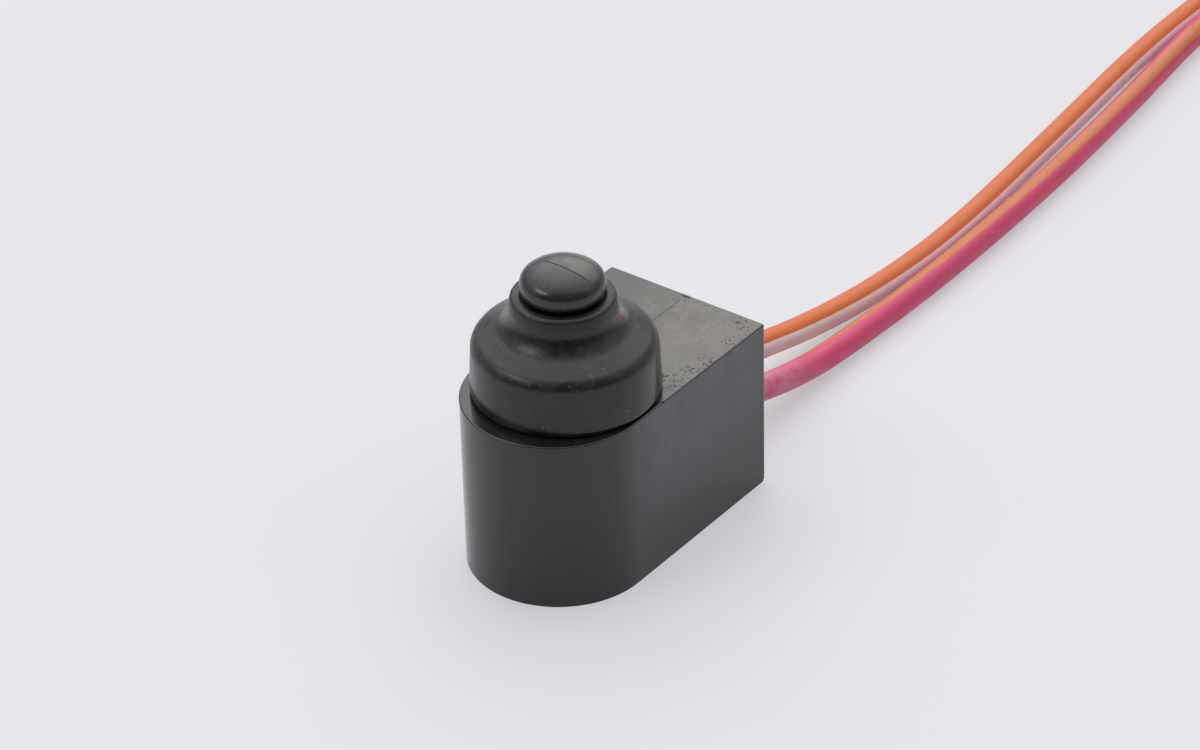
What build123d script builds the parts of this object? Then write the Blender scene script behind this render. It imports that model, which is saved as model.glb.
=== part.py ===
from build123d import *
import os

# Sealed plunger switch for a brake lamp. Millimetres, +Z up.
# The origin is the plunger's axis where it meets the underside of the case;
# the leads leave towards +X, and the rounded front of the case points to -X.
# With the plunger released the bridge closes the circuit and the lamp is lit.

# ---- Case ----
case_width = 12.0
case_height = 11.9
case_length = 19.72
front_to_axis = 7.0
case_wall = 1.2
roof_thickness = 1.5
roof_rib_height = 0.3
rear_corner_round = 0.15
top_edge_round = 0.1
rear_foot_chamfer = 0.3
seam_width = 0.05
seam_depth = 0.02
seam_margin = 0.8
nick_radius = 0.14
nick_position = 1.96
gate_width = 0.55
gate_depth = 0.15
gate_height = 0.05
gate_offset = -0.03

# ---- Snap spigot and guide boss on the roof, under the boot ----
spigot_height = 1.25
bead_projection = 0.3
bead_height = 0.55
boss_radius = 3.1
boss_height = 1.8

# ---- Plunger ----
stem_radius = 1.9
stem_nose_radius = 1.5
spring_bore_radius = 1.0
head_radius = 2.67
head_rim_radius = 2.6
head_band = 0.5
head_dome = 1.52
head_knuckle = 0.93
head_rim_round = 0.18
travel = 2.2
foot_clearance = 0.4
shoulder_gap = 0.15
grip_groove_depth = 0.2

# ---- Boot ----
skirt_radius = 5.83
foot_flare = 0.17
skirt_height = 3.58
shoulder_rise = 1.12
neck_radius = 3.33
neck_height = 2.0
boot_wall = 0.85
boot_lip_height = 0.5
boot_foot_chamfer = 0.45
boot_shoulder_round = 0.7
boot_neck_round = 0.9
neck_mouth_radius = 2.6
neck_mouth_depth = 0.35
grip_height = 0.9
head_gap = 0.35

# ---- Springs, rings and clips ----
return_wire = 0.28
return_turns = 5
contact_wire = 0.24
contact_turns = 2
contact_spring_gap = 0.4
ring_thickness = 0.4
ring_to_terminal = 0.15
clip_width = 0.95
snap_groove_depth = 0.25
snap_slot = 1.6
clip_above_foot = 0.5

# ---- Contacts ----
strip_thickness = 0.4
bridge_length = 8.8
bridge_width = 2.2
bridge_hole_gap = 0.1
contact_spacing = 7.2
contact_radius = 0.65
contact_height = 0.35
closed_gap = 0.02

# ---- Inner base, terminals and potting ----
potting_floor = 0.8
base_thickness = 1.2
partition_start = 5.6
partition_thickness = 1.2
post_start = 2.9
post_inset = 0.2
spring_pin_radius = 0.45
spring_pin_height = 1.6
terminal_width = 1.4
terminal_nose = 1.0
tag_gap = 1.4
tag_position = 8.2
tag_above_lead = 1.0
tag_below_lead = 0.9
solder_radius = 0.8
solder_neck_radius = 0.62
solder_length = 0.7
potting_depth = 6.0

# ---- Leads ----
lead_diameter = 1.8
conductor_radius = 0.45
lead_spacing = 3.1
lead_height = 3.6
insulation_start = 10.2
conductor_length = 2.9
strand_pitch = 1.85

# ---- Surplus of the leads, folded into a hank with its tie ----
hank_start = 83.6
hank_inlet = 7.0
hank_run = 14.0
inner_fold_radius = 5.4
hank_layers = 2
turns_across = 2
hank_chamfer = 0.5
tie_thickness = 0.4
tie_width = 2.5
tie_slack = 0.15
tie_corner = 0.3

# ---- Fits ----
sliding_fit = 0.05
moulding_fit = 0.05
seat_gap = 0.05

# ---- Worked out from the sizes above ----
half_width = case_width / 2
skirt_foot_radius = skirt_radius + foot_flare
boot_cavity_radius = skirt_radius - boot_wall
spigot_radius = boot_cavity_radius - bead_projection - 2 * seat_gap
terminal_inner_edge = (contact_spacing - terminal_width) / 2
arc_centre = half_width - front_to_axis
rear_face = case_length - front_to_axis
ceiling = case_height - roof_thickness
floor_top = potting_floor + base_thickness
lead_radius = lead_diameter / 2
lead_side = lead_spacing / 2

foot = floor_top + travel + foot_clearance
terminal_top = ceiling - roof_rib_height
terminal_bottom = terminal_top - strip_thickness
bridge_top = terminal_bottom - 2 * contact_height - closed_gap
bridge_bottom = bridge_top - strip_thickness
stem_shoulder = bridge_top + shoulder_gap
ring_top = ceiling - seat_gap
clip_bottom = foot + clip_above_foot
clip_top = clip_bottom + ring_thickness

skirt_top = case_height + skirt_height
neck_root = skirt_top + shoulder_rise
neck_top = neck_root + neck_height
grip_top = neck_top - neck_mouth_depth
grip_bottom = grip_top - grip_height
head_bottom = neck_top + head_gap
head_equator = head_bottom + head_band
spigot_top = case_height + spigot_height
boss_top = case_height + boss_height

# The routes of the two leads, from inside the case to the hank.
orange_route = [
    (insulation_start, lead_side, lead_height),
    (15.0, 1.55, 3.60),
    (20.8, 1.40, 2.70),
    (27.4, 0.66, 1.52),
    (35.0, 0.02, 0.90),
    (43.5, -0.30, 0.90),
    (57.5, 0.90, 0.90),
    (73.5, 2.45, 0.90),
    (hank_start, 2.45, 0.90),
]
pink_route = [
    (insulation_start, -lead_side, lead_height),
    (14.2, -1.55, 3.60),
    (18.8, -1.90, 2.32),
    (23.8, -2.22, 1.26),
    (29.2, -2.48, 0.90),
    (38.5, -2.92, 0.90),
    (53.5, -2.05, 0.90),
    (67.0, -0.66, 0.90),
    (77.0, 0.60, 0.90),
    (hank_start, 0.60, 0.90),
]


# ---- Building blocks ----
def rod(radius, bottom, top, x=0.0, y=0.0):
    """Upright cylinder between two heights."""
    return Pos(x, y, (bottom + top) / 2) * Cylinder(radius, top - bottom)


def cross_rod(radius, start, end, y, z):
    """Cylinder lying along X."""
    return Pos((start + end) / 2, y, z) * Rot(0, 90, 0) * Cylinder(radius, end - start)


def block(x_range, y_range, z_range):
    """Box between three pairs of faces."""
    sizes = [high - low for low, high in (x_range, y_range, z_range)]
    middles = [(high + low) / 2 for low, high in (x_range, y_range, z_range)]
    return Pos(*middles) * Box(*sizes)


def d_slab(inset, bottom, top):
    """Upright prism of the case's outline, round in front and square behind."""
    radius = half_width - inset
    rear = rear_face - inset
    outline = Pos(arc_centre, 0) * Circle(radius)
    outline += Pos((arc_centre + rear) / 2, 0) * Rectangle(rear - arc_centre, 2 * radius)
    return Pos(0, 0, bottom) * extrude(outline, top - bottom)


def turned(outline):
    """Turn a face of (radius, height) about the plunger's axis."""
    return revolve(Plane.XZ * outline, Axis.Z)


def rounded(outline, corner, radius):
    """Round the corner of a flat outline that lies nearest to a point."""
    nearest = outline.vertices().sort_by_distance(corner)[0]
    return fillet(nearest, radius)


def spring(coil_radius, wire, turns, bottom, top):
    """Open helical spring, of six-sided wire, that fills the height between two seats."""
    path = Helix((top - bottom - wire) / turns, top - bottom - wire, coil_radius)
    path = Pos(0, 0, bottom + wire / 2) * path
    section = Plane(origin=path @ 0, z_dir=path % 0) * RegularPolygon(wire / 2, 6)
    return sweep(section, path=path, is_frenet=True)


def snap_ring(inner_radius, outer_radius, bottom, top):
    """Flat ring, open on one side so that it springs into a groove."""
    ring = rod(outer_radius, bottom, top) - rod(inner_radius, bottom, top)
    return ring - block((0, 2 * outer_radius), (-snap_slot / 2, snap_slot / 2), (bottom, top))


# ---- Case and sealing pieces ----
def make_shell():
    """Outer walls and roof, open below, with softened edges."""
    outside = d_slab(0, 0, case_height)
    rear_corners = outside.edges().filter_by(Axis.Z).sort_by(Axis.X)[-2:]
    outside = fillet(rear_corners, rear_corner_round)
    outside = fillet(outside.faces().sort_by(Axis.Z)[-1].edges(), top_edge_round)
    side = rear_foot_chamfer * 2**0.5
    outside -= Pos(rear_face, 0, 0) * Rot(0, 45, 0) * Box(side, case_width, side)
    return outside - d_slab(case_wall, 0, ceiling)


def make_case():
    body = make_shell()
    bead = make_face(Polyline(
        (spigot_radius - 0.1, spigot_top - bead_height),
        (spigot_radius, spigot_top - bead_height),
        (spigot_radius + bead_projection, spigot_top - bead_height / 2),
        (spigot_radius, spigot_top),
        (spigot_radius - 0.1, spigot_top),
        close=True,
    ))
    body += rod(spigot_radius, case_height, spigot_top) + turned(bead)
    body += rod(boss_radius, case_height, boss_top)
    body -= rod(stem_radius + sliding_fit, ceiling, boss_top)
    for side in (-1, 1):
        middle = side * contact_spacing / 2
        ribs = (middle - terminal_width / 2, middle + terminal_width / 2)
        body += block((post_start, tag_position), ribs, (terminal_top, ceiling))
        body -= cross_rod(
            lead_radius + moulding_fit, rear_face - case_wall, rear_face, side * lead_side, lead_height
        )
    body -= block(
        (skirt_radius, rear_face - seam_margin),
        (-seam_width / 2, seam_width / 2),
        (case_height - seam_depth, case_height),
    )
    body -= Pos(nick_position, -half_width, case_height) * Sphere(nick_radius)
    gate_end = rear_face - top_edge_round
    return body + block(
        (gate_end - gate_depth, gate_end),
        (gate_offset - gate_width / 2, gate_offset + gate_width / 2),
        (case_height - seam_depth, case_height + gate_height),
    )


def make_contact_base():
    end = partition_start + partition_thickness
    plate = d_slab(case_wall + moulding_fit, potting_floor, floor_top)
    plate &= block((-front_to_axis, end), (-half_width, half_width), (potting_floor, floor_top))
    reach = half_width - case_wall - moulding_fit
    base = plate + block((partition_start, end), (-reach, reach), (floor_top, terminal_bottom))
    for side in (-1, 1):
        edges = sorted((side * reach, side * (terminal_inner_edge + post_inset)))
        base += block((post_start, partition_start), edges, (floor_top, terminal_bottom))
    return base + rod(spring_pin_radius, floor_top, floor_top + spring_pin_height)


def make_potting(embedded):
    fill = d_slab(case_wall, 0, potting_floor)
    start = partition_start + partition_thickness
    chamber = block((start, rear_face), (-half_width, half_width), (0, potting_depth))
    fill += d_slab(case_wall, 0, potting_depth) & chamber
    for piece in embedded:
        fill -= piece
    return fill


def make_boot():
    mouth = spigot_radius + seat_gap
    grip = stem_radius - grip_groove_depth + seat_gap
    lip_top = case_height + boot_lip_height
    slope = shoulder_rise / (skirt_radius - neck_radius)
    inner_top = skirt_top - boot_wall
    neck_inner = neck_radius - boot_wall
    inner_root = inner_top + (boot_cavity_radius - neck_inner) * slope
    outline = make_face(Polyline(
        (mouth, case_height),
        (skirt_foot_radius - boot_foot_chamfer, case_height),
        (skirt_foot_radius, case_height + boot_foot_chamfer),
        (skirt_radius, skirt_top),
        (neck_radius, neck_root),
        (neck_radius, neck_top),
        (neck_mouth_radius, neck_top),
        (stem_radius + seat_gap, grip_top),
        (grip, grip_top - seat_gap),
        (grip, grip_bottom + seat_gap),
        (neck_inner, grip_bottom + seat_gap),
        (neck_inner, inner_root),
        (boot_cavity_radius, inner_top),
        (boot_cavity_radius, lip_top),
        (mouth, lip_top),
        close=True,
    ))
    outline = rounded(outline, (skirt_radius, skirt_top), boot_shoulder_round)
    outline = rounded(outline, (neck_radius, neck_root), boot_neck_round)
    return turned(outline)


# ---- Moving pieces ----
def make_plunger():
    stem = Polyline(
        (0, ceiling),
        (spring_bore_radius, ceiling),
        (spring_bore_radius, foot),
        (stem_nose_radius, foot),
        (stem_nose_radius, stem_shoulder),
        (stem_radius, stem_shoulder),
        (stem_radius, head_bottom),
        (head_rim_radius, head_bottom),
        (head_radius, head_equator),
    )
    # The dome is a broad crown that runs into a tight knuckle at the rim.
    reach = head_radius - head_knuckle
    crown = (reach**2 + head_dome**2 - head_knuckle**2) / (2 * (head_dome - head_knuckle))
    crown_centre = head_equator + head_dome - crown
    joint = Vector(reach, head_equator - crown_centre).normalized() * crown + Vector(0, crown_centre)
    knuckle = TangentArc((head_radius, head_equator), joint, tangent=(0, 1))
    top = ThreePointArc(
        joint,
        Vector(0, crown_centre) + Vector(joint.X, crown + joint.Y - crown_centre).normalized() * crown,
        (0, head_equator + head_dome),
    )
    axis = Line((0, head_equator + head_dome), (0, ceiling))
    outline = make_face(stem.edges() + knuckle.edges() + top.edges() + axis.edges())
    body = turned(rounded(outline, (head_rim_radius, head_bottom), head_rim_round))
    grooves = (
        (stem_radius, snap_groove_depth, ring_top - ring_thickness, ring_top),
        (stem_radius, grip_groove_depth, grip_bottom, grip_top),
        (stem_nose_radius, snap_groove_depth, clip_bottom, clip_top),
    )
    for radius, depth, bottom, top in grooves:
        body -= rod(radius + depth, bottom, top) - rod(radius - depth, bottom, top)
    return body


def make_bridge():
    strip = SlotOverall(bridge_length, bridge_width, rotation=90)
    strip -= Circle(stem_nose_radius + bridge_hole_gap)
    collar = Circle(stem_nose_radius + bridge_hole_gap + strip_thickness)
    collar -= Circle(stem_nose_radius + bridge_hole_gap)
    return Pos(0, 0, bridge_bottom) * extrude(strip + collar, strip_thickness)


# ---- Terminals and their joints to the leads ----
def make_terminal(side):
    middle = side * contact_spacing / 2
    edges = (middle - terminal_width / 2, middle + terminal_width / 2)
    tag_end = tag_position + strip_thickness
    strip = block((-terminal_nose, tag_end), edges, (terminal_bottom, terminal_top))
    leg = block((tag_position, tag_end), edges, (lead_height - tag_below_lead, terminal_top))
    tag_edges = sorted((side * tag_gap / 2, edges[1] if side > 0 else edges[0]))
    tag_heights = (lead_height - tag_below_lead, lead_height + tag_above_lead)
    tag = block((tag_position, tag_end), tag_edges, tag_heights)
    hole = cross_rod(solder_neck_radius, tag_position, tag_end, side * lead_side, lead_height)
    return strip + leg + tag - hole


def make_solder(side):
    """Fillets of solder on both faces of a tag, joined through its hole."""
    front = tag_position
    back = tag_position + strip_thickness
    outline = make_face(Polyline(
        (conductor_radius, front - solder_length),
        (solder_radius, front),
        (solder_neck_radius, front),
        (solder_neck_radius, back),
        (solder_radius, back),
        (conductor_radius, back + solder_length),
        close=True,
    ))
    return Pos(0, side * lead_side, lead_height) * Rot(0, 90, 0) * turned(outline)


def make_conductor(side):
    start = insulation_start - conductor_length
    return cross_rod(conductor_radius, start, insulation_start, side * lead_side, lead_height)


# ---- Leads ----
def bend_radii(route):
    """Largest arc that each corner of a route leaves room for."""
    points = [Vector(*point) for point in route]
    radii = []
    for before, corner, after in zip(points, points[1:], points[2:]):
        incoming = corner - before
        outgoing = after - corner
        turn = incoming.get_angle(outgoing)
        half_turn = Vector(1, 0, 0).rotate(Axis.Z, turn / 2)
        shorter = min(incoming.length, outgoing.length)
        radii.append(0.45 * shorter * half_turn.X / half_turn.Y)
    return radii


def make_lead(name, route):
    radii = bend_radii(route)
    path = FilletPolyline(*route, radius=radii)
    section = Plane(origin=path @ 0, z_dir=path % 0) * Circle(lead_radius)
    lead = sweep(section, path=path)
    expected = section.area * path.length
    print(name, "length", round(path.length, 2), "radii", [round(radius, 1) for radius in radii])
    print(name, "volume", round(lead.volume, 3), "section x length", round(expected, 3))
    return lead


def hank_sizes():
    """Centre of the hank, middle radius of its folds and the section of its turns."""
    centre_x = hank_start + hank_inlet + hank_run / 2
    centre_y = pink_route[-1][1] - inner_fold_radius
    width = (turns_across - 1) * strand_pitch + lead_diameter
    middle = inner_fold_radius - lead_radius + width / 2
    height = (hank_layers - 1) * strand_pitch + lead_diameter
    return centre_x, centre_y, middle, width, height


def make_hank():
    centre_x, centre_y, middle, width, height = hank_sizes()
    outer = SlotCenterToCenter(hank_run, 2 * middle + width)
    inner = SlotCenterToCenter(hank_run, 2 * middle - width)
    turns = extrude(outer - inner, height)
    rims = turns.edges().group_by(Axis.Z)
    turns = chamfer(rims[0] + rims[-1], hank_chamfer)
    turns -= block(
        (-tie_width / 2 - tie_slack, tie_width / 2 + tie_slack),
        (middle - width, middle + width),
        (0, tie_thickness + tie_slack),
    )
    pair_width = strand_pitch + lead_diameter
    pair_middle = (orange_route[-1][1] + pink_route[-1][1]) / 2
    pair = Plane.YZ * Pos(pair_middle, lead_radius) * SlotOverall(pair_width, lead_diameter)
    return Pos(centre_x, centre_y, 0) * turns + Pos(hank_start, 0, 0) * extrude(pair, hank_inlet)


def make_tie():
    """Band round the two turns on the side where the leads come in."""
    centre_x, centre_y, middle, width, height = hank_sizes()
    low = tie_thickness
    high = height + tie_slack
    inner = RectangleRounded(width + 2 * tie_slack, high - low, tie_corner)
    outer = RectangleRounded(
        width + 2 * tie_slack + 2 * tie_thickness,
        high - low + 2 * tie_thickness,
        tie_corner + tie_thickness,
    )
    band = Plane.YZ * Pos(middle, (high + low) / 2) * (outer - inner)
    return Pos(centre_x, centre_y, 0) * extrude(band, tie_width / 2, both=True)


# ---- All the pieces ----
def build_parts():
    parts = {
        "case": make_case(),
        "contact_base": make_contact_base(),
        "boot": make_boot(),
        "plunger": make_plunger(),
        "retaining_ring": snap_ring(
            stem_radius - snap_groove_depth + moulding_fit,
            terminal_inner_edge - ring_to_terminal,
            ring_top - ring_thickness,
            ring_top,
        ),
        "spring_clip": snap_ring(
            stem_nose_radius - snap_groove_depth + moulding_fit,
            stem_nose_radius + clip_width - snap_groove_depth,
            clip_bottom,
            clip_top,
        ),
        "return_spring": spring(
            (spring_bore_radius + spring_pin_radius) / 2, return_wire, return_turns, floor_top, ceiling
        ),
        "contact_spring": spring(
            stem_nose_radius + contact_spring_gap, contact_wire, contact_turns, clip_top, bridge_bottom
        ),
        "contact_bridge": make_bridge(),
        "lead_orange": make_lead("lead_orange", orange_route),
        "lead_pink": make_lead("lead_pink", pink_route),
        "lead_hank": make_hank(),
        "hank_tie": make_tie(),
    }
    embedded = [parts["lead_orange"], parts["lead_pink"]]
    for name, side in (("far", 1), ("near", -1)):
        y = side * contact_spacing / 2
        parts[f"terminal_{name}"] = make_terminal(side)
        parts[f"solder_{name}"] = make_solder(side)
        parts[f"conductor_{name}"] = make_conductor(side)
        parts[f"fixed_contact_{name}"] = rod(
            contact_radius, terminal_bottom - contact_height, terminal_bottom, 0, y
        )
        parts[f"bridge_contact_{name}"] = rod(
            contact_radius, bridge_top, bridge_top + contact_height, 0, y
        )
        embedded += [parts[f"{kind}_{name}"] for kind in ("terminal", "solder", "conductor")]
    parts["potting"] = make_potting(embedded)
    return parts


os.makedirs("parts", exist_ok=True)
for node, shape in build_parts().items():
    export_step(shape, f"parts/{node}.step")
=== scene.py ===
import math

import bmesh
import bpy
from mathutils import Matrix, Vector


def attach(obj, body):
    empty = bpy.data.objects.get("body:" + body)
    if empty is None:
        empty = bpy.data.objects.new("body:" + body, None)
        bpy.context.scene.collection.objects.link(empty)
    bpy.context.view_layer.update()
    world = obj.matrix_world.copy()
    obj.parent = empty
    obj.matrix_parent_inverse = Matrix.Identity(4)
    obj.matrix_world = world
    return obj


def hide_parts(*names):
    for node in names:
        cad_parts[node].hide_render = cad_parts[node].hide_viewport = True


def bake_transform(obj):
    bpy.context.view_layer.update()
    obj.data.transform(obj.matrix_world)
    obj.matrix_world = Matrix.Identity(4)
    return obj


# Brake light switch: a black D-shaped case, a rubber boot round a domed button,
# and two striped leads whose surplus is folded into a hank and tied.
# Metres, +Z up, +X to the leads. The origin is the button's axis on the underside.
# The boot, the plunger and its spring are given in millimetres and scaled by MM.

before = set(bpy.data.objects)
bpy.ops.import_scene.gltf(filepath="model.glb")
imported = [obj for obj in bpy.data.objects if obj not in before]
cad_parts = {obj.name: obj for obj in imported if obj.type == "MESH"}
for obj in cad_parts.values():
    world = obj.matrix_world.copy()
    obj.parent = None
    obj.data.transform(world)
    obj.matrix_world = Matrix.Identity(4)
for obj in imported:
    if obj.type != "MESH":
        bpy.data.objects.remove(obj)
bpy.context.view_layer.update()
scene = bpy.context.scene
MM = 0.001


# ---- Camera ----
CAMERA_PLACE = (-0.17805, -0.14075, 0.16261)
CAMERA_RIGHT = (0.60061, -0.79921, -0.02297)
CAMERA_BACK = (-0.6593, -0.5113, 0.5514)
FOCAL_LENGTH = 132.72
SENSOR_WIDTH = 36.0


def place_camera():
    """A long lens above the rounded end of the case, from which the leads run away."""
    right = Vector(CAMERA_RIGHT).normalized()
    back = Vector(CAMERA_BACK).normalized()
    up = back.cross(right).normalized()
    right = up.cross(back)
    lens = bpy.data.cameras.new("bench_camera")
    lens.lens = FOCAL_LENGTH
    lens.sensor_width = SENSOR_WIDTH
    lens.clip_start = 0.01
    lens.clip_end = 20.0
    camera = bpy.data.objects.new("bench_camera", lens)
    axes = Matrix((right, up, back)).transposed().to_4x4()
    camera.matrix_world = Matrix.Translation(CAMERA_PLACE) @ axes
    scene.collection.objects.link(camera)
    scene.camera = camera


place_camera()


# ---- Leads ----
LEAD_DIAMETER = 0.0018

# The hank: two layers of turns between two round ends.
NEAR_FOLD_X = 0.0906
FAR_FOLD_X = 0.1046
HANK_Y = -0.0048
ORANGE_FOLD = 0.00725
PINK_FOLD = 0.0054
FOLD_STEP = 20
LOW_TURN = 0.0009
HIGH_TURN = 0.00275
CLIMB_START = 225
CLIMB_TURN = 80

# How far the runs rise over the tie, and how far apart the points of that rise are.
LOW_RISE = 0.00032
HIGH_RISE = 0.0002
RISE_STEP = 0.002

# The free ends, which stand clear of the turns with a slight lift.
ORANGE_STUB = 0.002
PINK_STUB = 0.009
STUB_LIFT = 0.06

# Where each lead runs from the case to its hank.
orange_route = [
    (0.0102, 0.00155, 0.00360),
    (0.0150, 0.00155, 0.00360),
    (0.0208, 0.00140, 0.00270),
    (0.0274, 0.00066, 0.00152),
    (0.0350, 0.00002, 0.00090),
    (0.0435, -0.00030, 0.00090),
    (0.0575, 0.00090, 0.00090),
    (0.0735, 0.00245, 0.00090),
    (0.0836, 0.00245, 0.00090),
]
pink_route = [
    (0.0102, -0.00155, 0.00360),
    (0.0142, -0.00155, 0.00360),
    (0.0188, -0.00190, 0.00232),
    (0.0238, -0.00198, 0.00126),
    (0.0292, -0.00203, 0.00090),
    (0.0385, -0.00234, 0.00090),
    (0.0535, -0.00185, 0.00090),
    (0.0670, -0.00066, 0.00090),
    (0.0770, 0.00060, 0.00090),
    (0.0836, 0.00060, 0.00090),
]


def smooth(low, high, share):
    """Goes gently from low to high while the share goes from 0 to 1."""
    share = min(max(share, 0.0), 1.0)
    return low + (high - low) * share * share * (3 - 2 * share)


def fold_points(centre_x, radius, start, end, height):
    """Control points clockwise round one end of the hank, between two angles in degrees."""
    drawn_in = radius / math.cos(math.radians(FOLD_STEP / 2))
    points = []
    for turn in range(start - FOLD_STEP // 2, end, -FOLD_STEP):
        angle = math.radians(turn)
        x = centre_x + drawn_in * math.cos(angle)
        y = HANK_Y + drawn_in * math.sin(angle)
        points.append((x, y, height(turn)))
    return points


def run_points(start_x, end_x, y, height, rise):
    """Control points along a straight run of the hank, which rises over the tie half way."""
    middle = (start_x + end_x) / 2
    ahead = math.copysign(RISE_STEP, end_x - start_x)
    steps = ((-1.5, 0.0), (-0.5, rise), (0.5, rise), (1.5, 0.0))
    return [(middle + along * ahead, y, height + up) for along, up in steps]


def hank_points(radius, stub):
    """Two turns of a lead round the hank, the second on top of the first, and its free end."""
    near_y = HANK_Y - radius
    far_y = HANK_Y + radius

    def climb(turn):
        return smooth(LOW_TURN, HIGH_TURN, (CLIMB_START - turn) / CLIMB_TURN)

    points = run_points(NEAR_FOLD_X, FAR_FOLD_X, far_y, LOW_TURN, LOW_RISE)
    points += fold_points(FAR_FOLD_X, radius, 90, -90, lambda turn: LOW_TURN)
    points += run_points(FAR_FOLD_X, NEAR_FOLD_X, near_y, LOW_TURN, 0.0)
    points += fold_points(NEAR_FOLD_X, radius, 270, 90, climb)
    points += run_points(NEAR_FOLD_X, FAR_FOLD_X, far_y, HIGH_TURN, HIGH_RISE)
    points += fold_points(FAR_FOLD_X, radius, 90, -90, lambda turn: HIGH_TURN)
    points += run_points(FAR_FOLD_X, NEAR_FOLD_X, near_y, HIGH_TURN, 0.0)
    points += [
        (NEAR_FOLD_X, near_y, HIGH_TURN),
        (NEAR_FOLD_X - stub, near_y, HIGH_TURN + STUB_LIFT * stub),
    ]
    return points


def lay_lead(name, points):
    """A lead along one smooth line; each point's radius, times a bevel of 1, is the lead's own."""
    line = bpy.data.curves.new(name, "CURVE")
    line.dimensions = "3D"
    line.twist_mode = "Z_UP"
    line.bevel_depth = 1.0
    line.bevel_resolution = 6
    line.resolution_u = 8
    line.use_fill_caps = True
    spline = line.splines.new("NURBS")
    spline.points.add(len(points) - 1)
    for point, at in zip(spline.points, points):
        point.co = (*at, 1)
        point.radius = LEAD_DIAMETER / 2
    spline.order_u = 3
    spline.use_endpoint_u = True
    spline.use_smooth = True
    lead = bpy.data.objects.new(name, line)
    scene.collection.objects.link(lead)
    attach(lead, "switch_case")
    return lead


orange_lead = lay_lead("orange_lead", orange_route + hank_points(ORANGE_FOLD, ORANGE_STUB))
pink_lead = lay_lead("pink_lead", pink_route + hank_points(PINK_FOLD, PINK_STUB))


# ---- Mesh helpers ----
TURN_STEPS = 128
CORNER_STEPS = 8
EDGE_STEPS = 2
WELD_DISTANCE = 1e-7


def piece(name, shape, body=None, material=None):
    """A finished piece at the origin, riding on a body where one is given."""
    mesh = bpy.data.meshes.new(name)
    shape.to_mesh(mesh)
    shape.free()
    mesh.shade_smooth()
    made = bpy.data.objects.new(name, mesh)
    scene.collection.objects.link(made)
    if body:
        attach(made, body)
    if material:
        mesh.materials.append(material)
    return made


def round_off(shape, corners, width, segments, affect):
    """Rounds edges or outline corners, to a width each way."""
    bmesh.ops.bevel(
        shape,
        geom=corners,
        offset=width,
        offset_type="OFFSET",
        segments=segments,
        profile=0.5,
        affect=affect,
        material=-1,
    )


def flat_outline(shape, corners, to_space):
    """A flat face through (across, up, rounding) corners, with its corners rounded."""
    points = [shape.verts.new(to_space(across, up)) for across, up, _ in corners]
    shape.faces.new(points)
    for point, (_, _, rounding) in zip(points, corners):
        if rounding:
            round_off(shape, [point], rounding, CORNER_STEPS, "VERTICES")


def turn_full(shape):
    """Spins an outline right round the button's axis and closes its seam and poles."""
    bmesh.ops.spin(
        shape,
        geom=list(shape.verts) + list(shape.edges),
        axis=(0, 0, 1),
        cent=(0, 0, 0),
        angle=2 * math.pi,
        steps=TURN_STEPS,
        use_merge=True,
    )
    bmesh.ops.remove_doubles(shape, verts=shape.verts, dist=WELD_DISTANCE)
    bmesh.ops.recalc_face_normals(shape, faces=shape.faces)


def turned(corners):
    """A closed outline of (radius, height, rounding) in millimetres, spun round the axis."""
    shape = bmesh.new()
    in_metres = [tuple(size * MM for size in corner) for corner in corners]
    flat_outline(shape, in_metres, lambda radius, height: (radius, 0, height))
    bmesh.ops.delete(shape, geom=list(shape.faces), context="FACES_ONLY")
    turn_full(shape)
    return shape


def wind_wire(shape, radius, sides, start, axis, climb, angle, steps):
    """A round wire, open at both ends, that winds about an axis through the origin as it climbs."""
    section = bmesh.ops.create_circle(
        shape, cap_ends=False, radius=radius, segments=sides, matrix=start
    )["verts"]
    rim = list({edge for vert in section for edge in vert.link_edges})
    bmesh.ops.spin(
        shape,
        geom=section + rim,
        axis=axis,
        cent=(0, 0, 0),
        dvec=Vector(axis) * (climb / steps),
        angle=angle,
        steps=steps,
        use_merge=False,
    )


def cap_wires(shape):
    """Closes the open ends of wires and turns all faces outwards."""
    open_rims = [edge for edge in shape.edges if edge.is_boundary]
    bmesh.ops.holes_fill(shape, edges=open_rims, sides=0)
    bmesh.ops.recalc_face_normals(shape, faces=shape.faces)


# ---- Bare ends of the leads ----
STRANDS = 7
STRAND_RADIUS = 0.00015
STRAND_RING = 0.00029
STRAND_SIDES = 10
STRAND_STEPS = 16
BARE_LENGTH = 0.0042
BARE_START = 0.0006
BARE_TWIST = math.radians(150)


def bare_end(name, fold_radius, stub):
    """Twisted strands, one of them in the middle, at a lead's free end, which points to -X."""
    shape = bmesh.new()
    across = Matrix.Rotation(math.pi / 2, 4, "Y")
    for strand in range(STRANDS):
        angle = strand * math.pi / 3
        ring = STRAND_RING if strand < STRANDS - 1 else 0.0
        start = Matrix.Translation((0, ring * math.cos(angle), ring * math.sin(angle))) @ across
        wind_wire(
            shape,
            radius=STRAND_RADIUS,
            sides=STRAND_SIDES,
            start=start,
            axis=(1, 0, 0),
            climb=-BARE_LENGTH,
            angle=BARE_TWIST,
            steps=STRAND_STEPS,
        )
    cap_wires(shape)
    lift = Matrix.Rotation(math.atan(STUB_LIFT), 4, "Y")
    end = Vector((NEAR_FOLD_X - stub, HANK_Y - fold_radius, HIGH_TURN + STUB_LIFT * stub))
    to_end = Matrix.Translation(end) @ lift @ Matrix.Translation((BARE_START, 0, 0))
    bmesh.ops.transform(shape, matrix=to_end, verts=shape.verts)
    strands = piece(name, shape, "switch_case")
    return strands


orange_strands = bare_end("orange_bare_strands", ORANGE_FOLD, ORANGE_STUB)
pink_strands = bare_end("pink_bare_strands", PINK_FOLD, PINK_STUB)


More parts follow.
